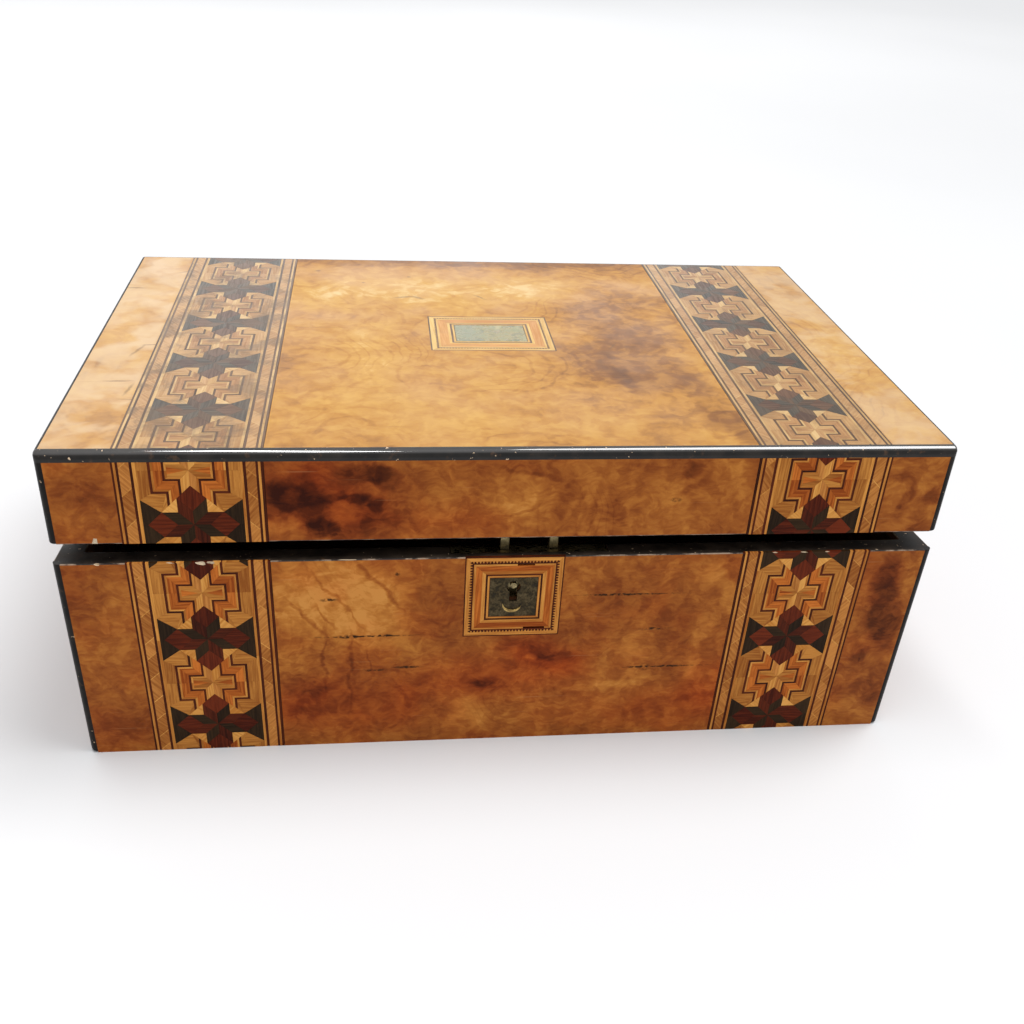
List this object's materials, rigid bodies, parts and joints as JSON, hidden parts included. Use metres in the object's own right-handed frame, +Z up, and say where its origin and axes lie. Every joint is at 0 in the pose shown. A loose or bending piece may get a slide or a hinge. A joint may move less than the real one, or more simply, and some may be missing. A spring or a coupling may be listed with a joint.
{
  "type": "writing slope",
  "caption": "Veneered writing slope with parquetry bands, an inlaid plaque and escutcheon, and a hinged lid that stands slightly ajar.",
  "frame": {"origin": "middle of the flat underside, on the surface that the box stands on", "axes": "+X to the right along the box's width as seen from the front, +Y to the back, +Z up"},
  "size_m": [0.355, 0.2306, 0.1469],
  "materials": {
    "burr_walnut": "French-polished burr walnut veneer",
    "honey_walnut": "faded, French-polished walnut veneer",
    "parquetry": "small pieces of boxwood, tulipwood and dark woods, polished flush",
    "ebonised": "blackened hardwood, worn glossy",
    "mother_of_pearl": "polished shell plate",
    "dark_brass": "tarnished",
    "brass": "aged brass"
  },
  "bodies": {
    "base": {"base_front_board": "burr_walnut", "base_back_board": "burr_walnut", "base_left_board": "burr_walnut", "base_right_board": "burr_walnut", "base_bottom_board": "burr_walnut", "base_corner_front_left": "ebonised", "base_corner_front_right": "ebonised", "base_corner_back_left": "ebonised", "base_corner_back_right": "ebonised", "base_band_left": "parquetry", "base_band_right": "parquetry", "escutcheon_frame": "parquetry", "escutcheon_plate": "dark_brass", "box_lock": "brass", "hinge_left_base_leaf": "brass", "hinge_left_pin": "brass", "hinge_right_base_leaf": "brass", "hinge_right_pin": "brass"},
    "lid": {"lid_top_board": "honey_walnut", "lid_front_board": "burr_walnut", "lid_back_board": "burr_walnut", "lid_left_board": "burr_walnut", "lid_right_board": "burr_walnut", "lid_edge_front": "ebonised", "lid_edge_back": "ebonised", "lid_edge_left": "ebonised", "lid_edge_right": "ebonised", "lid_corner_front_left": "ebonised", "lid_corner_front_right": "ebonised", "lid_corner_back_left": "ebonised", "lid_corner_back_right": "ebonised", "lid_band_left": "parquetry", "lid_band_right": "parquetry", "lid_top_band_left": "parquetry", "lid_top_band_right": "parquetry", "plaque_frame": "parquetry", "plaque": "mother_of_pearl", "lock_link_plate": "brass", "hinge_left_lid_leaf": "brass", "hinge_right_lid_leaf": "brass"}
  },
  "joints": [
    {"name": "lid_hinge", "type": "hinge", "parent": "base", "child": "lid", "pos_m": [0, 0.1143, 0.0695], "axis": [-1, 0, 0], "range_deg": [0, 177.9]}
  ]
}
